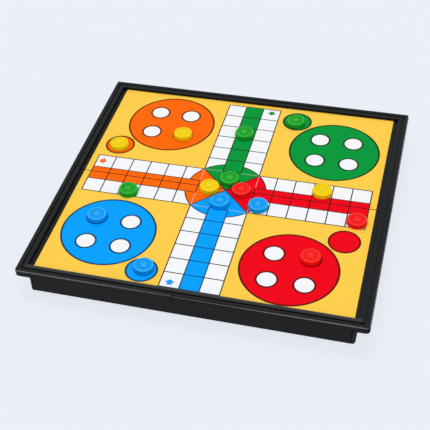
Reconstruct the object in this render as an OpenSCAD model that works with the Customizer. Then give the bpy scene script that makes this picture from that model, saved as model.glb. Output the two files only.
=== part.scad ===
// Folding ludo board box, in millimetres.
// The origin is the middle of the open board, on the table. +X is the player's right, +Y the back, +Z up.
// Two equal moulded halves meet at a seam along X. They fold about the bottom edge of that seam.

/* [Case] */
// Width of the board, along the seam
board_w = 250; // [236:1:280]
// Depth of the open board, both halves together
board_d = 239; // [226:1:270]
// Gap between the halves along the seam
seam_gap = 0.4; // [0.2:0.1:0.8]
// Height of a half, from its rim plane up to the top of its frame
case_h = 20.5; // [15:0.5:26]
// Radius of the frame's corners, seen from above
frame_corner_r = 3; // [1.5:0.5:6]
// Rounding of the frame's outer top edge
frame_edge_r = 0.9; // [0.4:0.1:1.6]
// How far the side lips stand out past the tray's walls
side_overhang = 8; // [6:0.5:10]
// How far the end lip stands out past the tray's wall
end_overhang = 1.5; // [1:0.25:3]
// Height of the outer lip
lip_h = 5; // [4.5:0.25:7]
// Wall of the side lips
lip_wall = 1.6; // [1.2:0.1:2.2]
// Thickness of the frame over the hollow of the side lips
flange_t = 3.2; // [3:0.1:4]
// Cross ribs in the hollow of each side lip
lip_ribs = 4; // [2:1:8]
// Thickness of those cross ribs
lip_rib_t = 1.2; // [0.8:0.1:2]

/* [Frame] */
// Flat band along the outer edge of the frame
outer_band_w = 3.4; // [2.5:0.1:4.5]
// Width of the groove inside that band
groove_w = 1.2; // [0.5:0.1:1.2]
// Depth of the groove
groove_d = 0.9; // [0.3:0.1:1]
// Raised band between the groove and the play surface
ridge_w = 3.1; // [2.5:0.1:4]
// Depth of the play surface under the top of the frame
recess_d = 2.2; // [1.6:0.1:2.6]
// Ledge beside the printed sheet, at the left and the right
side_ledge = 3.45; // [2:0.05:5]
// Distance of the slit from the middle of the front lip
slit_x = 9; // [0:0.5:20]
// Width of the slit
slit_w = 0.8; // [0.5:0.1:1.2]
// Depth of the slit, into the lip and down from its top
slit_d = 1; // [0.5:0.1:1.4]

/* [Tray] */
// Wall of the tray at its open edge
wall_t = 1.8; // [1.4:0.1:2.4]
// Thickness of the floor under the steel plate
floor_t = 1.6; // [1.2:0.1:2.4]
// How far the side walls lean in from the lip down to the open edge
side_draft = 1; // [0.4:0.1:1.6]
// How far the end wall leans in
end_draft = 0.5; // [0.2:0.1:1.2]
// Chamfer along the open edge
edge_chamfer = 1.2; // [0.4:0.1:1.2]
// Radius of the tray's outer corners
tray_corner_r = 6; // [3:0.5:6]
// Height of the stiffening ribs on the floor's underside
rib_h = 1.4; // [0.8:0.1:2.5]
// Thickness of those ribs
rib_t = 1.2; // [0.8:0.1:2]
// Number of ribs that run from front to back in each tray
rib_count = 3; // [1:1:6]

/* [Studs and sockets] */
// Height of the studs, which carry the open board
stud_h = 2.6; // [2.5:0.1:4]
// Radius of a stud
stud_r = 2.5; // [2:0.1:3]
// Chamfer at the tip of a stud
stud_chamfer = 0.5; // [0.3:0.1:0.8]
// Clearance of a stud in its socket, all round
socket_fit = 0.15; // [0.1:0.05:0.3]
// Free depth of a socket past the tip of the stud
socket_spare = 0.6; // [0.3:0.1:1.5]
// Wall of a socket's boss
boss_wall = 1.8; // [1.2:0.1:2.2]
// Distance from the tray's open corner to the centre of the outer stud or socket, both ways
boss_inset = 5.4; // [5.2:0.1:7]
// Distance between the stud and the socket of one corner
boss_pitch = 12; // [10:0.5:20]

/* [Fold hinge] */
// Distance of each hinge's middle from the end of the board
hinge_inset = 47.5; // [38:0.5:75]
// Length of each hinge
hinge_len = 30; // [20:1:40]
// Radius of the knuckles
knuckle_r = 2.3; // [1.8:0.1:2.4]
// Gap between neighbouring knuckles
knuckle_gap = 0.3; // [0.2:0.05:0.5]
// Clearance round a knuckle in the other half's notch
notch_fit = 0.4; // [0.3:0.05:0.6]
// Thickness of the block behind the knuckles, from the notch to the tray
hinge_block_t = 1.8; // [1.4:0.1:3]
// How far that block runs past each end of the hinge
hinge_block_end = 2; // [1:0.5:5]
// Radius of the hinge pins
pin_r = 1; // [0.7:0.1:1.1]
// Clearance of a pin in the knuckles that hold it, all round
pin_hold_fit = 0.02; // [0.01:0.01:0.03]
// Clearance of a pin in the knuckles that turn on it, all round
pin_run_fit = 0.06; // [0.04:0.01:0.1]
// Gap between the two open edges when the box is folded shut
closed_gap = 0.2; // [0.1:0.05:0.4]

/* [Play surface] */
// Thickness of the steel plates
plate_t = 0.4; // [0.3:0.1:0.8]
// Thickness of the printed sheets
sheet_t = 0.3; // [0.2:0.05:0.5]
// Clearance of the plates and sheets in their recess
sheet_fit = 0.15; // [0.05:0.05:0.3]
// Thickness of one layer of ink
ink_t = 0.05; // [0.03:0.01:0.08]
// Plain margin of the sheet past the track, at the left and the right
side_margin = 5.25; // [2:0.25:10]
// Plain margin of the sheet past the track, at the front and the back
end_margin = 3.2; // [2:0.1:8]
// How far the print sits towards the front of the board
print_shift = 1.2; // [0:0.1:1.2]
// Width of the lines between the cells
cell_line = 0.6; // [0.4:0.1:1]
// Width of the white lines across the hub
chord_line = 0.5; // [0.3:0.1:0.8]
// Width of the line round the big circles
home_line = 1.1; // [0.6:0.1:1.5]
// Width of the lines round the spots and the start circles
spot_line = 0.8; // [0.4:0.1:1.2]
// Radius of the big circles, in cells
home_cells = 2.41; // [2.2:0.01:2.6]
// Radius of the white spots, in cells
spot_cells = 0.5; // [0.4:0.01:0.6]
// Distance of the spots from the big circle's middle lines, in cells
spot_place_cells = 0.91; // [0.8:0.01:1.1]
// Radius of the start circles, in cells
start_cells = 0.77; // [0.6:0.01:0.85]

/* [Playing pieces] */
// How much wider a playing piece is than a cell
piece_over = 0.8; // [-1:0.1:0.8]
// Height of a playing piece
piece_h = 3.6; // [3:0.1:6]
// Rounding of its top edge
piece_round = 0.8; // [0.4:0.1:1]
// Width of the raised ring along its edge
piece_rim_w = 1.4; // [1.2:0.1:2]
// Depth of the face inside that ring
face_d = 0.5; // [0.3:0.1:0.6]
// Radius of the thin ring on the face
face_ring_r = 4.9; // [4.4:0.1:5.1]
// Width of that thin ring
face_ring_w = 0.5; // [0.3:0.1:0.7]
// Height of the ring and the star on the face
emboss_h = 0.3; // [0.1:0.05:0.3]
// Radius of the star's points
star_r = 3.7; // [2.5:0.1:4]
// Radius of the notches between the star's points
star_inner_r = 1.7; // [1:0.1:2]
// Number of points of the star
star_points = 5; // [4:1:8]
// Diameter of the magnet
magnet_d = 8; // [6:0.5:9]
// Thickness of the magnet
magnet_t = 1.8; // [1:0.1:1.9]
// How far the magnet lies inside the underside
magnet_inset = 0.2; // [0.1:0.05:0.4]
// Clearance of the magnet in its pocket, all round
magnet_fit = 0.05; // [0.02:0.01:0.15]

/* [Hidden] */
$fn = 72;
// How far a cut runs past the face that it opens
over = 0.5;
// Steps of the rounded top edge of a playing piece
round_steps = 6;

// Levels, from the table up
rim_z = stud_h;
frame_z = rim_z + case_h;
lip_z = frame_z - lip_h;
surface_z = frame_z - recess_d;
plate_z = surface_z - sheet_t - plate_t;
ceiling_z = plate_z - floor_t;
piece_z = surface_z + 2 * ink_t;
fold_z = rim_z - closed_gap / 2;

// Outlines of one half, seen from above. The seam face is at seam_y, and the half reaches to -board_d / 2.
seam_y = -seam_gap / 2;
rim_w = outer_band_w + groove_w + ridge_w;
recess_w = board_w - 2 * rim_w;
pocket_w = recess_w - 2 * side_ledge;
recess_y = -board_d / 2 + rim_w;
sheet_w = pocket_w - 2 * sheet_fit;
sheet_y = recess_y + sheet_fit;
tray_w = board_w - 2 * side_overhang;
tray_y = -board_d / 2 + end_overhang;
store_w = tray_w - 2 * (side_draft + wall_t);
store_y = tray_y + end_draft + wall_t;
store_seam_y = seam_y - wall_t;

// Studs and sockets
boss_x = tray_w / 2 - side_draft - boss_inset;
boss_y = tray_y + end_draft + boss_inset;
socket_r = stud_r + socket_fit;
boss_r = socket_r + boss_wall;
socket_depth = stud_h + socket_spare;
STUD_XS = [-boss_x, boss_x - boss_pitch];
SOCKET_XS = [boss_x, boss_pitch - boss_x];

// Hinges. Knuckles 0, 2 and 4 of the left hinge belong to the front half, and 1 and 3 of the right one.
knuckles = 5;
hinge_x = board_w / 2 - hinge_inset;
knuckle_len = (hinge_len - (knuckles - 1) * knuckle_gap) / knuckles;
knuckle_pitch = knuckle_len + knuckle_gap;
notch_r = knuckle_r + notch_fit;
hinge_block_y = -notch_r - hinge_block_t;
hinge_block_z = fold_z + notch_r + hinge_block_t;

// The track is a cross of fifteen cells each way, three cells wide
track_cells = 15;
arm_cells = 3;
square_cells = arm_cells / 2;
cell = min(sheet_w - 2 * side_margin, -2 * sheet_y - 2 * end_margin) / track_cells;
hub_r = cell * square_cells * sqrt(2);
piece_d = cell + piece_over;
home_at = [-4.35, 5.05];
start_at = [-6.65, 2.6];
arrow_at = [-7.15, 1.03];
ARROW = [[0.2, 0], [-0.02, 0.28], [-0.02, 0.13], [-0.17, 0.13], [-0.17, -0.13], [-0.02, -0.13], [-0.02, -0.28]];

// Players, clockwise from the left arm
INKS = ["#ff6a00", "#009639", "#f50019", "#00a0ff"];
LINE_INK = "#3a2a22";
WHITE_INK = "#f5f5f7";
SHEET_YELLOW = "#fecd4b";
CASE_BLACK = "#262626";
STEEL = "#9aa0a6";

// Playing pieces: name, colour, and place on the board in cells
PIECES = [
    ["yellow_piece_1", "#ffd700", [-6.67, 2.51]],
    ["yellow_piece_2", "#ffd700", [-3.42, 4.09]],
    ["yellow_piece_3", "#ffd700", [-0.84, -0.05]],
    ["yellow_piece_4", "#ffd700", [4.98, 0.82]],
    ["green_piece_1", "#23a028", [-4.98, -1.16]],
    ["green_piece_2", "#23a028", [-0.06, 4.86]],
    ["green_piece_3", "#23a028", [2.54, 6.5]],
    ["green_piece_4", "#23a028", [0.05, 0.8]],
    ["blue_piece_1", "#1491f0", [-5.96, -3.44]],
    ["blue_piece_2", "#1491f0", [-2.52, -6.5]],
    ["blue_piece_3", "#1491f0", [-0.04, -1.08]],
    ["blue_piece_4", "#1491f0", [1.96, -0.95]],
    ["red_piece_1", "#f51914", [0.85, 0.04]],
    ["red_piece_2", "#f51914", [7.04, -1.07]],
    ["red_piece_3", "#f51914", [5.24, -4.15]]
];

// A rectangle centred on x = 0 that runs from y_back to y_front, with its two front corners rounded
module half_outline(w, y_back, y_front, r) {
    translate([-w / 2, y_front + r])
        square([w, y_back - y_front - r]);
    translate([-w / 2 + r, y_front])
        square([w - 2 * r, y_back - y_front]);
    for (side = [-1, 1])
        translate([side * (w / 2 - r), y_front + r])
            circle(r);
}

// The tray's outside: upright in the lip, then leaning in down to a chamfered open edge
function leaning_profile(half, draft) = let (
    slope = draft / (lip_z - rim_z),
    low = half - draft
) [
    [low - edge_chamfer, rim_z],
    [low + slope * edge_chamfer, rim_z + edge_chamfer],
    [half + slope * lip_h, frame_z]
];

module tray_block() {
    side = leaning_profile(tray_w / 2, side_draft);
    end = leaning_profile(-tray_y, end_draft);
    intersection() {
        translate([0, 0, rim_z])
            linear_extrude(case_h)
                half_outline(tray_w, seam_y, tray_y, tray_corner_r);
        rotate([90, 0, 0])
            linear_extrude(board_d)
                polygon(concat(side, [for (i = [2:-1:0]) [-side[i][0], side[i][1]]]));
        translate([-board_w / 2, 0, 0])
            rotate([90, 0, 90])
                linear_extrude(board_w)
                    polygon(concat([[0, rim_z]], [for (point = end) [-point[0], point[1]]], [[0, frame_z]]));
    }
}

// The hollow of the tray, from its open edge up to the underside of the floor
module store() {
    translate([-store_w / 2, store_y, rim_z - over])
        cube([store_w, store_seam_y - store_y, ceiling_z - rim_z + over]);
}

module floor_ribs() {
    step = store_w / (rib_count + 1);
    for (i = [1:rib_count])
        translate([-store_w / 2 + i * step - rib_t / 2, store_y - over, ceiling_z - rib_h])
            cube([rib_t, store_seam_y - store_y + 2 * over, rib_h + over]);
    translate([-store_w / 2 - over, (store_y + store_seam_y - rib_t) / 2, ceiling_z - rib_h])
        cube([store_w + 2 * over, rib_t, rib_h + over]);
}

// Frame round the play surface, with its lip turned down on the three outer sides and its top edge rounded there
module frame_block() {
    intersection() {
        translate([0, 0, lip_z])
            linear_extrude(lip_h)
                half_outline(board_w, seam_y, -board_d / 2, frame_corner_r);
        rotate([90, 0, 0])
            linear_extrude(board_d)
                rounded_top(board_w);
        translate([-board_w / 2, 0, 0])
            rotate([90, 0, 90])
                linear_extrude(board_w)
                    rounded_top(board_d);
    }
}

// The frame's section, centred on the upright axis, from below the lip up to its rounded top corners
module rounded_top(w) {
    rotate(180)
        half_outline(w, 0, -frame_z, frame_edge_r);
}

// Hollows between the side lips and the tray, split by cross ribs
module lip_hollows() {
    run = seam_y + board_d / 2 - 2 * lip_wall;
    bay = (run - lip_ribs * lip_rib_t) / (lip_ribs + 1);
    for (side = [-1, 1], i = [0:lip_ribs])
        translate([
            side < 0 ? lip_wall - board_w / 2 : tray_w / 2,
            -board_d / 2 + lip_wall + i * (bay + lip_rib_t),
            lip_z - over
        ])
            cube([side_overhang - lip_wall, bay, lip_h - flange_t + over]);
}

// The groove runs along the three outer sides and out through the seam face
module groove() {
    outer = outer_band_w;
    inner = outer_band_w + groove_w;
    translate([0, 0, frame_z - groove_d])
        linear_extrude(groove_d + over)
            difference() {
                half_outline(board_w - 2 * outer, 0, -board_d / 2 + outer, groove_w);
                translate([-board_w / 2 + inner, -board_d / 2 + inner])
                    square([board_w - 2 * inner, board_d]);
            }
}

// Room for the play surface, and under it the narrower pocket for the plate and the sheet
module recess() {
    translate([-recess_w / 2, recess_y, surface_z])
        cube([recess_w, -recess_y, recess_d + over]);
    translate([-pocket_w / 2, recess_y, plate_z])
        cube([pocket_w, -recess_y, recess_d + sheet_t + plate_t + over]);
}

module slit() {
    translate([-slit_x - slit_w / 2, -board_d / 2 - over, lip_z - over])
        cube([slit_w, slit_d + over, lip_h + 2 * over]);
    translate([-slit_x - slit_w / 2, -board_d / 2 - over, frame_z - slit_d])
        cube([slit_w, outer_band_w + over, slit_d + over]);
}

module bosses() {
    for (x = concat(STUD_XS, SOCKET_XS))
        translate([x, boss_y, rim_z])
            cylinder(r = boss_r, h = ceiling_z - rim_z + floor_t / 2);
    for (x = STUD_XS)
        translate([x, boss_y, 0]) {
            cylinder(r1 = stud_r - stud_chamfer, r2 = stud_r, h = stud_chamfer);
            translate([0, 0, stud_chamfer])
                cylinder(r = stud_r, h = stud_h - stud_chamfer + over);
        }
}

module sockets() {
    for (x = SOCKET_XS)
        translate([x, boss_y, rim_z - over])
            cylinder(r = socket_r, h = socket_depth + over);
}

// A round bar along X on the fold axis, from x over a length
module fold_bar(r, x, length) {
    translate([x, 0, fold_z])
        rotate([0, 90, 0])
            cylinder(r = r, h = length);
}

function knuckle_x(side, i) = side * hinge_x - hinge_len / 2 + i * knuckle_pitch;

// True for the knuckles that are moulded to the front half
function is_own(side, i) = (i % 2 == 0) == (side < 0);

module hinge_blocks() {
    for (side = [-1, 1]) {
        translate([side * hinge_x - hinge_len / 2 - hinge_block_end, hinge_block_y, rim_z])
            cube([hinge_len + 2 * hinge_block_end, seam_y - hinge_block_y, hinge_block_z - rim_z]);
        for (i = [0:knuckles - 1])
            if (is_own(side, i))
                fold_bar(knuckle_r, knuckle_x(side, i), knuckle_len);
    }
}

module hinge_cuts() {
    for (side = [-1, 1]) {
        for (i = [0:knuckles - 1])
            if (!is_own(side, i))
                fold_bar(notch_r, knuckle_x(side, i) - knuckle_gap, knuckle_len + 2 * knuckle_gap);
        fold_bar(
            pin_r + (side < 0 ? pin_hold_fit : pin_run_fit),
            side * hinge_x - hinge_len / 2 - over,
            hinge_len + 2 * over
        );
    }
}

// One moulded half, in the front half's place
module half_case(with_slit) {
    color(CASE_BLACK)
        difference() {
            union() {
                difference() {
                    union() {
                        tray_block();
                        frame_block();
                    }
                    store();
                    lip_hollows();
                }
                floor_ribs();
                bosses();
                hinge_blocks();
            }
            recess();
            groove();
            sockets();
            hinge_cuts();
            if (with_slit)
                slit();
        }
}

module front_case() {
    half_case(true);
}

module rear_case() {
    rotate([0, 0, 180])
        half_case(false);
}

module hinge_pin(side) {
    color(STEEL)
        fold_bar(pin_r, side * hinge_x - hinge_len / 2, hinge_len);
}

// A flat block that fills one half's recess between two levels
module sheet_block(low_z, high_z) {
    translate([-sheet_w / 2, sheet_y, low_z])
        cube([sheet_w, seam_y - sheet_y, high_z - low_z]);
}

module steel_plate(turn) {
    color(STEEL)
        rotate([0, 0, turn])
            sheet_block(plate_z, surface_z - sheet_t);
}

// Puts its children in each player's quarter, with $player counting clockwise from the left arm
module each_player() {
    for ($player = [0:3])
        rotate(-90 * $player)
            children();
}

module at_cell(place) {
    translate(cell * place)
        children();
}

module disc(cells, extra = 0) {
    circle(cell * cells + extra);
}

module at_spots() {
    for (x = [-1, 1], y = [-1, 1])
        at_cell(home_at + spot_place_cells * [x, y])
            children();
}

// Everything under the coloured ink: the dark lines, drawn as filled shapes
module line_ink() {
    for (turn = [0, 90])
        rotate(turn)
            square([track_cells, arm_cells] * cell + [cell_line, cell_line], center = true);
    circle(hub_r + cell_line / 2);
    each_player() {
        at_cell(home_at)
            disc(home_cells, home_line / 2);
        at_cell(start_at)
            disc(start_cells, spot_line / 2);
    }
}

// One cell's ink, inset by half a line on each side
module cell_ink(place) {
    at_cell(place)
        square([cell - cell_line, cell - cell_line], center = true);
}

// The small arrow at the outer end of an arm, which points to the hub
module arrow_ink() {
    at_cell(arrow_at)
        polygon(cell * ARROW);
}

// Two white lines along the side of the hub's square, outside the middle row
module chord_ink() {
    for (side = [-1, 1])
        translate([-cell * square_cells, side * cell])
            square([chord_line, cell - cell_line], center = true);
}

// The two outer rows of each arm, cut back round the hub, and the spots
module white_ink() {
    each_player() {
        difference() {
            for (column = [0:5], row = [-1, 1])
                cell_ink([column - 7, row]);
            circle(hub_r + cell_line / 2);
            arrow_ink();
        }
        at_spots()
            disc(spot_cells, -spot_line / 2);
        chord_ink();
    }
}

// One player's colour: the middle row of the arm, the home and start circles, and a quarter of the hub
module player_ink() {
    for (column = [0:5])
        cell_ink([column - 7, 0]);
    difference() {
        at_cell(home_at)
            disc(home_cells, -home_line / 2);
        at_spots()
            disc(spot_cells, spot_line / 2);
    }
    at_cell(start_at)
        disc(start_cells, -spot_line / 2);
    arrow_ink();
    hub_ink();
}

module hub_ink() {
    intersection() {
        difference() {
            circle(hub_r - cell_line / 2);
            chord_ink();
            translate([-cell * track_cells / 2, -(cell + cell_line) / 2])
                square([cell * (track_cells / 2 - square_cells) + cell_line / 2, cell + cell_line]);
        }
        polygon([
            [-cell_line / sqrt(2), 0],
            [-hub_r - cell_line, hub_r + cell_line / 4],
            [-hub_r - cell_line, -hub_r - cell_line / 4]
        ]);
    }
}

// A layer of ink that stands on the sheet, cut off at the seam of the front half
module ink_layer(turn, layer) {
    intersection() {
        translate([0, 0, surface_z - sheet_t / 2])
            linear_extrude(sheet_t / 2 + layer * ink_t)
                rotate(-turn)
                    translate([0, -print_shift])
                        children();
        sheet_block(plate_z, frame_z);
    }
}

module print_sheet(turn) {
    rotate([0, 0, turn]) {
        color(SHEET_YELLOW)
            sheet_block(surface_z - sheet_t, surface_z);
        color(LINE_INK)
            ink_layer(turn, 1)
                line_ink();
        color(WHITE_INK)
            ink_layer(turn, 2)
                white_ink();
        for (player = [0:3])
            color(INKS[player])
                ink_layer(turn, 2)
                    rotate(-90 * player)
                        player_ink();
    }
}

// Outline of a playing piece from its axis out, with a rounded top edge and a sunk face
function piece_profile() = concat(
    [[0, 0], [piece_d / 2, 0]],
    [for (i = [0:round_steps])
        [piece_d / 2 - piece_round, piece_h - piece_round]
            + piece_round * [cos(90 * i / round_steps), sin(90 * i / round_steps)]],
    [
        [piece_d / 2 - piece_rim_w + face_d / 2, piece_h],
        [piece_d / 2 - piece_rim_w, piece_h - face_d],
        [0, piece_h - face_d]
    ]
);

module star() {
    polygon([for (i = [0:2 * star_points - 1])
        (i % 2 == 0 ? star_r : star_inner_r)
            * [sin(180 * i / star_points), cos(180 * i / star_points)]]);
}

module at_piece(piece) {
    translate([piece[2][0] * cell, piece[2][1] * cell - print_shift, piece_z])
        children();
}

module playing_piece(piece) {
    color(piece[1])
        at_piece(piece)
            difference() {
                union() {
                    rotate_extrude()
                        polygon(piece_profile());
                    translate([0, 0, piece_h - face_d - over])
                        linear_extrude(over + emboss_h)
                            star();
                    translate([0, 0, piece_h - face_d - over])
                        rotate_extrude()
                            translate([face_ring_r - face_ring_w / 2, 0])
                                square([face_ring_w, over + emboss_h]);
                }
                translate([0, 0, -over])
                    cylinder(d = magnet_d + 2 * magnet_fit, h = over + magnet_inset + magnet_t);
            }
}

module piece_magnet(piece) {
    color(STEEL)
        at_piece(piece)
            translate([0, 0, magnet_inset])
                cylinder(d = magnet_d, h = magnet_t);
}

front_case();
rear_case();
hinge_pin(-1);  // left_hinge_pin
hinge_pin(1);  // right_hinge_pin
steel_plate(0);  // front_steel_plate
steel_plate(180);  // rear_steel_plate
print_sheet(0);  // front_print_sheet
print_sheet(180);  // rear_print_sheet
for (piece = PIECES) {
    playing_piece(piece);
    piece_magnet(piece);
}
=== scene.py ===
"""A folding ludo board box: two black trays hinged into one board, a printed track and magnetic pieces."""

import math

import bmesh
import bpy
from mathutils import Matrix, Vector


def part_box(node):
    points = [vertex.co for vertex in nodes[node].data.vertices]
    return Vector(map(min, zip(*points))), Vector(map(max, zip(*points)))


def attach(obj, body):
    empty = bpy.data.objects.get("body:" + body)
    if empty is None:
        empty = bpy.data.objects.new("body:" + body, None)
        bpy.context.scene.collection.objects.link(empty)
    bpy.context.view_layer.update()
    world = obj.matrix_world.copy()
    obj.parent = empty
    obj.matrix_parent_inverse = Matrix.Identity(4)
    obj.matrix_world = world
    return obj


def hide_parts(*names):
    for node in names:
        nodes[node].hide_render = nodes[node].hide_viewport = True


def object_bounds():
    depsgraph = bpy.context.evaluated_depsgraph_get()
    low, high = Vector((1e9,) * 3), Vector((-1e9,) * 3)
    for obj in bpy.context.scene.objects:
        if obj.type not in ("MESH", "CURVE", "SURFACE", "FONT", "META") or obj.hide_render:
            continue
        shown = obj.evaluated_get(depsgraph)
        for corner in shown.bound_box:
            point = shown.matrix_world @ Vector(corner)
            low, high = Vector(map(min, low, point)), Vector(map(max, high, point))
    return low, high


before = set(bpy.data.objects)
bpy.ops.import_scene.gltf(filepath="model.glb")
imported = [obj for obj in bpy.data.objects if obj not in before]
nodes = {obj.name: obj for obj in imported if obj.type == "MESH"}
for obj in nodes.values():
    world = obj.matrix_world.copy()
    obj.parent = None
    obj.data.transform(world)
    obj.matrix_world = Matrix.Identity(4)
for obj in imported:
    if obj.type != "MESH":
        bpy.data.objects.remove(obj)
cad_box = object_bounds()


# The two moulded halves.
# Each is a tray of black ABS, injection moulded in one shot with its grooved frame and its hinge knuckles.
# The tool is finely grained, so the plastic is satin, with small soft edges that catch the light, and a
# painted highlight along the frame's outer edge and its front ridge.

class Wire:
    """A socket's value in a material. Python's operators on it add the Math nodes that work it out."""

    def __init__(self, tree, socket=None):
        self.tree = tree
        self.socket = socket

    def node(self, kind, settings, sockets, output=0):
        """Adds a node of this kind: first its settings, then a value or a wire for each named socket."""
        added = self.tree.nodes.new("ShaderNode" + kind)
        for name, value in settings.items():
            setattr(added, name, value)
        for key, value in sockets.items():
            if isinstance(value, Wire):
                self.tree.links.new(value.socket, added.inputs[key])
            else:
                added.inputs[key].default_value = value
        return Wire(self.tree, added.outputs[output])

    def __add__(self, other):
        return self.node("Math", {"operation": "ADD"}, {0: self, 1: other})

    def __sub__(self, other):
        return self.node("Math", {"operation": "SUBTRACT"}, {0: self, 1: other})

    def __rsub__(self, other):
        return self.node("Math", {"operation": "SUBTRACT"}, {0: other, 1: self})

    def __mul__(self, other):
        return self.node("Math", {"operation": "MULTIPLY"}, {0: self, 1: other})

    def __truediv__(self, other):
        return self.node("Math", {"operation": "DIVIDE"}, {0: self, 1: other})

    def __pow__(self, other):
        return self.node("Math", {"operation": "POWER"}, {0: self, 1: other})

    def __lt__(self, other):
        return self.node("Math", {"operation": "LESS_THAN"}, {0: self, 1: other})

    def __gt__(self, other):
        return self.node("Math", {"operation": "GREATER_THAN"}, {0: self, 1: other})

    def __abs__(self):
        return self.node("Math", {"operation": "ABSOLUTE"}, {0: self})

    __radd__ = __add__
    __rmul__ = __mul__


def srgb(red, green, blue):
    """A colour as a paint chart gives it, from 0 to 255, in the renderer's linear values."""
    shares = [c / 255 for c in (red, green, blue)]
    linear = [(c / 12.92 if c <= 0.04045 else ((c + 0.055) / 1.055) ** 2.4) for c in shares]
    return (*linear, 1)


def new_finish(name, roughness, **constants):
    """A material with one shader, whose unvarying values sit on its own sockets.

    Returns it with a wire and the shader.
    """
    material = bpy.data.materials.new(name)
    material.use_nodes = True
    shader = material.node_tree.nodes["Principled BSDF"]
    shader.inputs["Roughness"].default_value = roughness
    for socket, value in constants.items():
        shader.inputs[socket.replace("_", " ")].default_value = value
    return material, Wire(material.node_tree), shader


def connect(wire, shader, socket):
    wire.tree.links.new(wire.socket, shader.inputs[socket])


def object_place(wire):
    """Where a point lies on the piece, in metres."""
    return wire.node("TexCoord", {}, {}, "Object")


def along_axis(place, axis):
    return place.node("SeparateXYZ", {}, {0: place}, axis)


def smaller(a, b):
    return a.node("Math", {"operation": "MINIMUM"}, {0: a, 1: b})


def larger(a, b):
    return a.node("Math", {"operation": "MAXIMUM"}, {0: a, 1: b})


def clamped(value):
    """The value, held between 0 and 1."""
    return value.node("Clamp", {}, {"Value": value}, 0)


def noise(place, size, detail=2, rough=0.5):
    """Cloudy noise from 0 to 1, whose patches are about this size in metres."""
    sockets = {"Vector": place, "Scale": 1 / size, "Detail": detail, "Roughness": rough}
    return place.node("TexNoise", {}, sockets, "Fac")


def mix(mask, under, over):
    """The colour over where the mask is 1, and the colour under where it is 0."""
    return mask.node("Mix", {"data_type": "RGBA"}, {0: mask, 6: under, 7: over}, 2)


def dented(height, depth):
    """A surface normal from a height between 0 and 1, where 1 stands out this far in metres."""
    return height.node("Bump", {}, {"Strength": 1, "Distance": depth, "Height": height}, "Normal")


rim_w = 0.0077
ridge_w = 0.0031
edge_round = 0.0009
CASE_BLACK = srgb(12, 12, 12)
CLOUDED_BLACK = srgb(25, 26, 27)
# A grey painted on the front ridge as a highlight
RIDGE_HIGHLIGHT_GREY = srgb(58, 59, 59)
# A grey painted along the frame's rounded outer edge as a highlight
EDGE_HIGHLIGHT_GREY = srgb(128, 129, 130)
top_depth = 0.0004
pebble_size = 0.0005


def moulded_black(name):
    """Black ABS with a pebbled skin, with painted highlights along the frame's outer edge and its front
    ridge.
    """
    material, wire, shader = new_finish(name, roughness=0.4, Specular_IOR_Level=0.12)
    place = object_place(wire)
    x, y, z = (along_axis(place, axis) for axis in "XYZ")
    side = abs(x) - cad_box[1].x
    end = abs(y) - cad_box[1].y
    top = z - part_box("front_case")[1].z
    clouds = noise(place, size=0.018, detail=4)
    rubbed = noise(place, size=0.004, detail=3, rough=0.6)
    fine = noise(place, size=0.0006)

    # The painted highlights: on the front ridge, most towards the print, and along the middle of the
    # frame's rounded edge
    inward = (end + rim_w) / ridge_w
    on_ridge = (y < 0) * (side < ridge_w / 2 - rim_w)
    on_ridge = on_ridge * (inward > -0.1) * (inward < 1.05) * (top > -top_depth)
    # A painted highlight on the front ridge, paler towards the print and broken up by fine noise
    ridge_highlight = on_ridge * clamped(1.15 - inward) * (0.5 + fine)
    rounding = (larger(side, end) + top) / edge_round + 2
    # A painted highlight along the middle of the frame's rounded outer edge, broken up by noise
    edge_highlight = clamped((rounding - 1.15) * 8) * clamped(0.4 + rubbed)

    black = mix(0.3 * clouds, CASE_BLACK, CLOUDED_BLACK)
    black = mix(clamped(ridge_highlight), black, RIDGE_HIGHLIGHT_GREY)
    connect(mix(edge_highlight, black, EDGE_HIGHLIGHT_GREY), shader, "Base Color")
    connect(0.33 + 0.1 * clouds + 0.1 * rubbed, shader, "Roughness")
    pebble_sockets = {"Vector": place, "Scale": 1 / pebble_size}
    pebbles = wire.node("TexVoronoi", {"feature": "SMOOTH_F1"}, pebble_sockets, "Distance")
    connect(dented(0.7 * pebbles + 0.3 * rubbed, depth=0.00004), shader, "Normal")
    return material


def finish_node(name, material, edge):
    """Gives a carried-over solid its finish, and breaks its sharp edges by this width."""
    node = nodes[name]
    node.data.materials.clear()
    node.data.materials.append(material)
    weld = node.modifiers.new("joined_faces", "WELD")
    weld.merge_threshold = 1e-6
    bevel = node.modifiers.new("broken_edges", "BEVEL")
    bevel.width = edge
    bevel.segments = 3
    bevel.limit_method = "ANGLE"
    bevel.angle_limit = math.radians(35)
    bevel.harden_normals = True
    bevel.miter_outer = "MITER_ARC"


case_plastic = moulded_black("grained_black_abs")
for half in ("front", "rear"):
    finish_node(half + "_case", case_plastic, edge=0.00028)


# The two hinge pins.
# Each is a straight length of drawn steel wire, pushed through the five knuckles of its hinge from one end.
# The knuckles hide them, except at their cut ends.

streaks_per_metre = (60, 2600, 2600)


def drawn_steel(name, colour, roughness):
    """Bare steel with fine streaks from its drawing or rolling, which run from side to side."""
    material, wire, shader = new_finish(name, roughness, Metallic=1.0)
    place = object_place(wire)
    squeezed = wire.node("Mapping", {}, {"Vector": place, "Scale": streaks_per_metre})
    streaks = wire.node("TexNoise", {}, {"Vector": squeezed, "Scale": 1, "Detail": 3}, "Fac")
    dark = tuple(0.72 * c for c in colour[:3]) + (1,)
    clouds = noise(place, size=0.02, detail=3)
    connect(mix(0.5 * streaks + 0.5 * clouds, dark, colour), shader, "Base Color")
    connect(roughness - 0.1 + 0.2 * streaks, shader, "Roughness")
    connect(dented(streaks, depth=0.000004), shader, "Normal")
    return material


pin_steel = drawn_steel("drawn_steel_wire", srgb(196, 198, 202), roughness=0.32)
for side in ("left", "right"):
    finish_node(side + "_hinge_pin", pin_steel, edge=0.0001)


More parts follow.
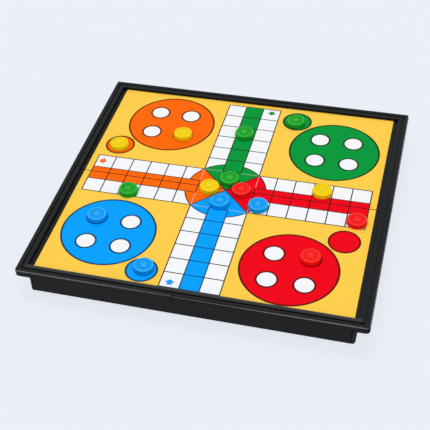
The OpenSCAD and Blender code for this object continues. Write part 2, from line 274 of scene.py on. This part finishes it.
# The two steel plates.
# Each is a thin tinned sheet, glued into the pocket of its half under the print. The magnets hold to it.
# Only its cut edge can be seen, at the seam.

plate_steel = drawn_steel("tinned_sheet_steel", srgb(188, 190, 194), roughness=0.38)
for half in ("front", "rear"):
    finish_node(half + "_steel_plate", plate_steel, edge=0.00005)


# The printed play surface.
# It is a plastic sheet printed with the track, laminated satin and cut in two along the seam.
# The track is a cross three cells wide, with a circle at its hub and a home of four spots in each corner.

sheet_low, sheet_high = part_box("front_print_sheet")
side_margin = 0.00525
track_cells = 15
cell = (sheet_high.x - sheet_low.x - 2 * side_margin) / track_cells
print_shift = 0.0012
cut_line = 0.0004
sheet_t = 0.0003
sheet_corner_r = 0.0006
sheet_edge = 0.00006

# Sizes in cells: the cross, the circles and the arrow, as they lie in the back left quarter
arm_half_w = 1.5
arm_end = track_cells / 2
row_half_w = 0.5
hub_radius = arm_half_w * math.sqrt(2)
home_radius = 2.41
home_at = (-4.35, 5.05)
spot_radius = 0.515
spot_offset = 0.91
start_radius = 0.77
start_at = (-6.65, 2.6)
arrow_at = (-7.15, 1.03)
head_tip, head_back, head_slope = 0.2, 0.02, 1.27
stem_at, stem_half, stem_half_w = 0.095, 0.075, 0.13
cell_line = 0.00085 / cell
hub_line = 0.0009 / cell
chord_line = 0.0006 / cell
home_line = 0.0014 / cell
spot_line = 0.0014 / cell
ink_edge = 0.0001 / cell

# Shares: of the ink in the lines over it, of white in the chords, of dirt on the cut, and of blank
# border in the square that a sheet is mapped to
ink_in_line = 0.12
chord_white = 0.28
soiled = 0.85
uv_margin = 0.02

GROUND_YELLOW = srgb(254, 205, 75)
PAPER_WHITE = srgb(245, 245, 247)
LINE_INK = srgb(20, 18, 18)
PLAYER_INKS = [srgb(255, 104, 0), srgb(0, 150, 57), srgb(240, 0, 22), srgb(0, 160, 255)]


def inside(distance):
    """1 where a distance to an outline, in cells, is negative, with the narrow soft edge of printed ink."""
    return clamped(0.5 - distance / ink_edge)


def length(x, y):
    return (x * x + y * y) ** 0.5


def printed_ludo(name):
    """Satin laminate over the printed track. Both sheets share it, so the print runs across the seam."""
    material, wire, shader = new_finish(name, roughness=0.46, Specular_IOR_Level=0.03)
    place = object_place(wire)
    x = along_axis(place, "X") / cell
    y = (along_axis(place, "Y") + print_shift) / cell
    width, depth = abs(x), abs(y)
    across, along = larger(width, depth), smaller(width, depth)
    radius = length(x, y)

    # Whose ink it is: in the arms the nearest side's, and in the corners the quarter's
    red_side = mix(x > 0, PLAYER_INKS[0], PLAYER_INKS[2])
    green_side = mix(y > 0, PLAYER_INKS[3], PLAYER_INKS[1])
    side_ink = mix(width > depth, green_side, red_side)
    back_ink = mix(x > 0, PLAYER_INKS[0], PLAYER_INKS[1])
    front_ink = mix(x > 0, PLAYER_INKS[3], PLAYER_INKS[2])
    corner_ink = mix(y > 0, front_ink, back_ink)

    # Every corner seen as the back left one, a to the left and b to the back
    turned = (x * y) > 0
    swapped = turned * (depth - width)
    a = 0 - (width + swapped)
    b = depth - swapped

    # The arms, the middle row and the hub
    arm = inside(larger(along - arm_half_w, across - arm_end))
    middle_row = inside(larger(along - row_half_w, across - arm_end)) * (across > arm_half_w)
    hub = inside(radius - hub_radius)
    inked = larger(hub, middle_row)
    colour = mix(arm, GROUND_YELLOW, PAPER_WHITE)
    colour = mix(inked, colour, side_ink)

    # Lines between the cells, round the hub, across it and along its square
    across_line = abs(across.node("Math", {"operation": "FRACT"}, {0: across}) - 0.5)
    along_line = abs(along.node("Math", {"operation": "FRACT"}, {0: along}) - 0.5)
    in_arm = inside(larger(along - arm_half_w, across - arm_end) - cell_line / 2)
    in_row = (along < row_half_w + cell_line / 2) * (across > arm_half_w - cell_line / 2)
    grid = inside(smaller(along_line, across_line) - cell_line / 2) * in_arm
    grid = grid * larger(radius > hub_radius, in_row)
    ring = inside(abs(radius - hub_radius) - hub_line / 2) * (along > row_half_w)
    cross = inside((across - along) / math.sqrt(2) - hub_line / 2) * hub
    chord = inside(abs(across - arm_half_w) - chord_line / 2) * (along > row_half_w) * hub
    line_colour = mix(ink_in_line * inked, LINE_INK, side_ink)
    colour = mix(larger(larger(grid, ring), cross), colour, line_colour)
    colour = mix(chord_white * chord, colour, PAPER_WHITE)

    # The homes, their spots and the start circles
    home = length(a - home_at[0], b - home_at[1]) - home_radius
    spot_a, spot_b = abs(a - home_at[0]) - spot_offset, abs(b - home_at[1]) - spot_offset
    spot = length(spot_a, spot_b) - spot_radius
    start = length(a - start_at[0], b - start_at[1]) - start_radius
    small_outline = smaller(abs(spot), abs(start)) - spot_line / 2
    outline = inside(smaller(abs(home) - home_line / 2, small_outline))
    colour = mix(inside(smaller(home, start)), colour, corner_ink)
    colour = mix(inside(spot), colour, PAPER_WHITE)
    colour = mix(outline, colour, mix(ink_in_line * outline, LINE_INK, corner_ink))

    # The arrow at the outer end of the first row, which points to the hub
    arrow_a, arrow_b = a - arrow_at[0], abs(b - arrow_at[1])
    head = larger(-head_back - arrow_a, arrow_b - (head_tip - arrow_a) * head_slope)
    stem = larger(abs(arrow_a + stem_at) - stem_half, arrow_b - stem_half_w)
    colour = mix(inside(smaller(head, stem)), colour, corner_ink)

    # The soiled edge along the cut between the halves
    cut = clamped(abs(along_axis(place, "Y")) < cut_line)
    colour = mix(soiled * cut, colour, LINE_INK)

    # The print's own texture: faint unevenness in the ink, and the orange peel of the laminate
    patches = noise(place, size=0.03, detail=3)
    shade = smaller(0.985 + 0.02 * noise(place, size=0.0006) + 0.015 * patches, 1)
    colour = wire.node("VectorMath", {"operation": "SCALE"}, {0: colour, "Scale": shade})
    connect(colour, shader, "Base Color")
    connect(0.4 + 0.12 * patches, shader, "Roughness")
    connect(dented(noise(place, size=0.0011), depth=0.000012), shader, "Normal")
    return material


def cut_sheet(name, low, high, corner, edge):
    """A thin sheet with its two outer corners cut round and its top edge broken, mapped to one square."""
    middle = (low + high) / 2
    half_w, half_d = (high.x - low.x) / 2, (high.y - low.y) / 2
    outward = math.copysign(1, middle.y)
    outline = [(-half_w, -half_d), (half_w, -half_d)]
    for side, degrees in ((1, range(0, 91, 15)), (-1, range(90, -1, -15))):
        for angle in map(math.radians, degrees):
            x = side * (half_w - corner + corner * math.cos(angle))
            outline.append((x, half_d - corner + corner * math.sin(angle)))

    points = []
    for z, inset in ((low.z, 0), (high.z - edge, 0), (high.z, edge)):
        for x, y in outline:
            x, y = x * (1 - inset / half_w), y * (1 - inset / half_d)
            points.append((middle.x + x, middle.y + outward * y, z))
    count = len(outline)
    faces = [range(count - 1, -1, -1), range(2 * count, 3 * count)]
    for ring in (0, count):
        for i in range(count):
            j = (i + 1) % count
            faces.append((ring + i, ring + j, ring + count + j, ring + count + i))
    data = bpy.data.meshes.new(name)
    data.from_pydata(points, [], [face if outward > 0 else face[::-1] for face in map(tuple, faces)])
    layer = data.uv_layers.new(name="OFBake")
    for loop in data.loops:
        x, y, _ = points[loop.vertex_index]
        u, v = (x - low.x) / (high.x - low.x), (y - low.y) / (high.y - low.y)
        layer.data[loop.index].uv = [uv_margin + (1 - 2 * uv_margin) * share for share in (u, v)]
    sheet = bpy.data.objects.new(name, data)
    bpy.context.collection.objects.link(sheet)
    return sheet


ludo_print = printed_ludo("laminated_ludo_print")
for half in ("front", "rear"):
    low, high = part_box(half + "_print_sheet")
    high.z = low.z + sheet_t
    sheet = cut_sheet(half + "_printed_surface", low, high, sheet_corner_r, sheet_edge)
    sheet.data.materials.append(ludo_print)
    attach(sheet, half + "_half")
    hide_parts(half + "_print_sheet")


# The playing pieces.
# Each is a button of coloured polystyrene with a round shoulder, a raised rim, a thin ring and a star.
# It is moulded in one, with a round pocket in its underside that takes the magnet.

PIECE_COLOURS = {
    "yellow": srgb(255, 218, 0),
    "green": srgb(24, 168, 36),
    "blue": srgb(0, 162, 248),
    "red": srgb(255, 20, 12),
}
# How strongly each colour's raised rim, ring and star are painted paler as a highlight
RELIEF_HIGHLIGHT_SHARES = {"yellow": 0.25, "green": 1, "blue": 1, "red": 1}
piece_names = [name for name in nodes if "_piece_" in name and not name.endswith("_magnet")]
piece_low, piece_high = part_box(piece_names[0])
relief = 0.0005
pocket_r, pocket_d = 0.00405, 0.002
flange_h, flange_step = 0.0009, 0.0002
shoulder_r = 0.001
button_rim = 0.0018
ring_outer, ring_inner, ring_h, ring_slope = 0.0052, 0.0046, 0.0003, 0.0001
star_points, star_outer, star_inner, star_h, star_slope = 5, 0.0039, 0.0017, 0.0004, 0.00022
star_root = 0.0002
turned_steps = 96
face_height = piece_high.z - piece_low.z - relief


def rounded_profile(corners, steps=5):
    """The corners of a profile, each (radius, height, fillet), with every filleted one drawn as an arc."""
    points = []
    for i, (r, z, fillet) in enumerate(corners):
        here = Vector((r, z))
        if fillet == 0:
            points.append(here)
            continue
        back = (Vector(corners[i - 1][:2]) - here).normalized()
        ahead = (Vector(corners[i + 1][:2]) - here).normalized()
        half_angle = math.acos(max(-1, min(1, back.dot(ahead)))) / 2
        middle = here + (back + ahead).normalized() * (fillet / math.sin(half_angle))
        start = here + back * (fillet / math.tan(half_angle))
        end = here + ahead * (fillet / math.tan(half_angle))
        for step in range(steps + 1):
            way = (start - middle).slerp(end - middle, step / steps)
            points.append(middle + fillet * way)
    return points


def lathe(mesh, profile, turns):
    """Turns a profile that starts and ends on the axis."""
    rings = []
    for r, z in profile:
        if r == 0:
            rings.append([mesh.verts.new((0, 0, z))] * turns)
        else:
            angles = [2 * math.pi * i / turns for i in range(turns)]
            rings.append([mesh.verts.new((r * math.cos(t), r * math.sin(t), z)) for t in angles])
    for lower, upper in zip(rings, rings[1:]):
        for i in range(turns):
            corners = [lower[i], lower[(i + 1) % turns], upper[(i + 1) % turns], upper[i]]
            mesh.faces.new(list(dict.fromkeys(corners)))


def add_star(mesh, points, outer, inner, low, high, slope):
    """A star with sloping sides, from under the face up to its own flat top."""
    rings = []
    for z, grow in ((low, slope), (high - slope, 0.5 * slope), (high, -slope)):
        ring = []
        for i in range(2 * points):
            radius = (outer if i % 2 == 0 else inner) + grow
            angle = math.pi * i / points
            ring.append(mesh.verts.new((radius * math.sin(angle), radius * math.cos(angle), z)))
        rings.append(ring)
    for lower, upper in zip(rings, rings[1:]):
        for i in range(2 * points):
            j = (i + 1) % (2 * points)
            mesh.faces.new((lower[i], upper[i], upper[j], lower[j]))
    mesh.faces.new(rings[-1][::-1])
    mesh.faces.new(rings[0])


def moulded_button(name, radius, height):
    """A playing piece that stands on the origin."""
    face = height - relief
    pocket = [(0, pocket_d, 0), (pocket_r, pocket_d, 0), (pocket_r, 0, 0)]
    flange = [(radius - 0.00005, 0, 0.00015), (radius, flange_h, 0.0001)]
    flange.append((radius - flange_step, flange_h + flange_step, 0.0001))
    rim = [(radius - 0.00025, height, shoulder_r), (radius - button_rim, height, 0.0002)]
    rim.append((radius - button_rim - 0.0002, face, 0.0002))
    thin_ring = [(ring_outer, face, 0.0001), (ring_outer - ring_slope, face + ring_h, 0.00015)]
    thin_ring += [(ring_inner + ring_slope, face + ring_h, 0.00015), (ring_inner, face, 0.0001)]
    mesh = bmesh.new()
    lathe(mesh, rounded_profile(pocket + flange + rim + thin_ring + [(0, face, 0)]), turned_steps)
    add_star(mesh, star_points, star_outer, star_inner, face - star_root, face + star_h, star_slope)
    bmesh.ops.recalc_face_normals(mesh, faces=mesh.faces)
    data = bpy.data.meshes.new(name)
    mesh.to_mesh(data)
    mesh.free()
    data.shade_smooth()
    data.set_sharp_from_angle(angle=math.radians(50))
    button = bpy.data.objects.new(name, data)
    bpy.context.collection.objects.link(button)
    return button


def coloured_plastic(name, colour, relief_highlight):
    """Glossy toy plastic, a little clouded, with a faint orange peel, and a painted highlight on its raised
    relief.
    """
    material, wire, shader = new_finish(name, roughness=0.3, Specular_IOR_Level=0.08)
    place = object_place(wire)
    rubbed = noise(place, size=0.0012, detail=3, rough=0.6)
    raised = clamped((along_axis(place, "Z") - face_height) / relief)
    deep = tuple(0.82 * c for c in colour[:3]) + (1,)
    pale = tuple(min(1, 1.2 * c + 0.025) for c in colour[:3]) + (1,)
    clouded = mix(noise(place, size=0.005, detail=3), deep, colour)
    # A painted highlight: the raised relief is paler, by the given share
    connect(mix(relief_highlight * raised, clouded, pale), shader, "Base Color")
    connect(0.24 + 0.12 * rubbed, shader, "Roughness")
    connect(dented(rubbed, depth=0.00001), shader, "Normal")
    return material


piece_plastics = {}
for name, colour in PIECE_COLOURS.items():
    piece_plastics[name] = coloured_plastic(name + "_polystyrene", colour, RELIEF_HIGHLIGHT_SHARES[name])
for name in piece_names:
    low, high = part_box(name)
    button = moulded_button(name + "_button", (high.x - low.x) / 2, high.z - low.z)
    button.location = ((low.x + high.x) / 2, (low.y + high.y) / 2, low.z)
    colour_name = name.split("_")[0]
    button.data.materials.append(piece_plastics[colour_name])
    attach(button, name + "_body")
    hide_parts(name)
    colour_name + "_plastic"


# The magnets.
# Each is a sintered ferrite disc, dark grey and grainy, glued into the pocket of its playing piece.
# It shows only when the piece is lifted and turned over.

grain_size = 0.00025


def ferrite(name):
    """Dark pressed ceramic, whose grains differ a little in greyness and height."""
    material, wire, shader = new_finish(name, roughness=0.6, Metallic=0.35)
    place = object_place(wire)
    grain_sockets = {"Vector": place, "Scale": 1 / grain_size}
    grains = wire.node("TexVoronoi", {"feature": "F1"}, grain_sockets, "Color")
    grey = wire.node("SeparateColor", {}, {0: grains}, 0)
    connect(mix(grey, srgb(52, 53, 56), srgb(88, 89, 93)), shader, "Base Color")
    connect(0.5 + 0.25 * grey, shader, "Roughness")
    connect(dented(grey, depth=0.00001), shader, "Normal")
    return material


magnet_ferrite = ferrite("sintered_ferrite")
for name in piece_names:
    finish_node(name + "_magnet", magnet_ferrite, edge=0.00015)
    nodes[name + "_magnet"]


# The table, the light and the camera.
# The board stands on a plain pale sheet under even studio light: two broad soft lamps and a bright room.
# The camera looks down at it from the front right, with a long lens.

ROOM_WHITE = srgb(235, 240, 248)
even_share = 0.87
floor_reach = 6
floor_corners = [(-floor_reach, -floor_reach, 0), (floor_reach, -floor_reach, 0)]
floor_corners += [(floor_reach, floor_reach, 0), (-floor_reach, floor_reach, 0)]
floor_mesh = bpy.data.meshes.new("table_sheet")
floor_mesh.from_pydata(floor_corners, [], [(0, 1, 2, 3)])
table_sheet = bpy.data.objects.new("table_sheet", floor_mesh)
bpy.context.collection.objects.link(table_sheet)


def seen_directly(wire):
    """1 for what the camera sees, itself or through gloss or glass."""
    kinds = ("Is Camera Ray", "Is Glossy Ray", "Is Transmission Ray")
    straight, glossy, through = (wire.node("LightPath", {}, {}, kind) for kind in kinds)
    return larger(straight, larger(glossy, through))


def even_paper(name):
    """Pale paper, lit mostly evenly so that only a weak shadow shows, and see-through from underneath."""
    paper, wire, shader = new_finish(name, roughness=0.9, Base_Color=ROOM_WHITE, Specular_IOR_Level=0.1)
    lit = Wire(paper.node_tree, shader.outputs[0])
    glow = wire.node("Emission", {}, {"Color": ROOM_WHITE, "Strength": 1})
    clear = wire.node("BsdfTransparent", {}, {})
    underside = wire.node("NewGeometry", {}, {}, "Backfacing")
    shown = wire.node("MixShader", {}, {0: even_share * seen_directly(wire), 1: lit, 2: glow})
    shown = wire.node("MixShader", {}, {0: underside, 1: shown, 2: clear})
    connect(shown, paper.node_tree.nodes["Material Output"], "Surface")
    return paper


floor_mesh.materials.append(even_paper("pale_paper"))

world = bpy.data.worlds.new("bright_room")
world.use_nodes = True
room = Wire(world.node_tree)
lighting = room.node("Background", {}, {"Color": (0.96, 0.98, 1, 1), "Strength": 0.6})
backdrop = room.node("Background", {}, {"Color": ROOM_WHITE, "Strength": 1})
room_sides = room.node("MixShader", {}, {0: seen_directly(room), 1: lighting, 2: backdrop})
connect(room_sides, world.node_tree.nodes["World Output"], "Surface")
bpy.context.scene.world = world


def soft_lamp(name, strength, spread, tilt, turn):
    """A broad distant lamp, tilted down from overhead and turned round the board, both in degrees."""
    light = bpy.data.lights.new(name, "SUN")
    light.energy = strength
    light.angle = math.radians(spread)
    lamp = bpy.data.objects.new(name, light)
    turned_round = Matrix.Rotation(math.radians(turn), 4, "Z")
    lamp.matrix_world = turned_round @ Matrix.Rotation(math.radians(tilt), 4, "X")
    bpy.context.collection.objects.link(lamp)


soft_lamp("key_lamp", strength=1.22, spread=30, tilt=-18, turn=30)
soft_lamp("fill_lamp", strength=0.3, spread=70, tilt=45, turn=30)

focal_pixels = 994.8
picture_pixels = 430
lens_centre = (180, 240)
camera_data = bpy.data.cameras.new("camera")
camera_data.sensor_width = 36
camera_data.lens = focal_pixels / picture_pixels * camera_data.sensor_width
camera_data.shift_x = 0.5 - lens_centre[0] / picture_pixels
camera_data.shift_y = lens_centre[1] / picture_pixels - 0.5
camera = bpy.data.objects.new("camera", camera_data)
bpy.context.collection.objects.link(camera)
heading, height_angle, roll = (math.radians(v) for v in (17.99, 43.11, -3.85))
aim = Vector((-0.0260, -0.0408, 0))
distance = 0.7493
looking = Matrix.Rotation(heading, 4, "Z") @ Matrix.Rotation(math.pi / 2 - height_angle, 4, "X")
stand = Matrix.Translation(aim + looking @ Vector((0, 0, distance)))
camera.matrix_world = stand @ looking @ Matrix.Rotation(roll, 4, "Z")
bpy.context.scene.camera = camera
bpy.context.scene.view_settings.view_transform = "Standard"
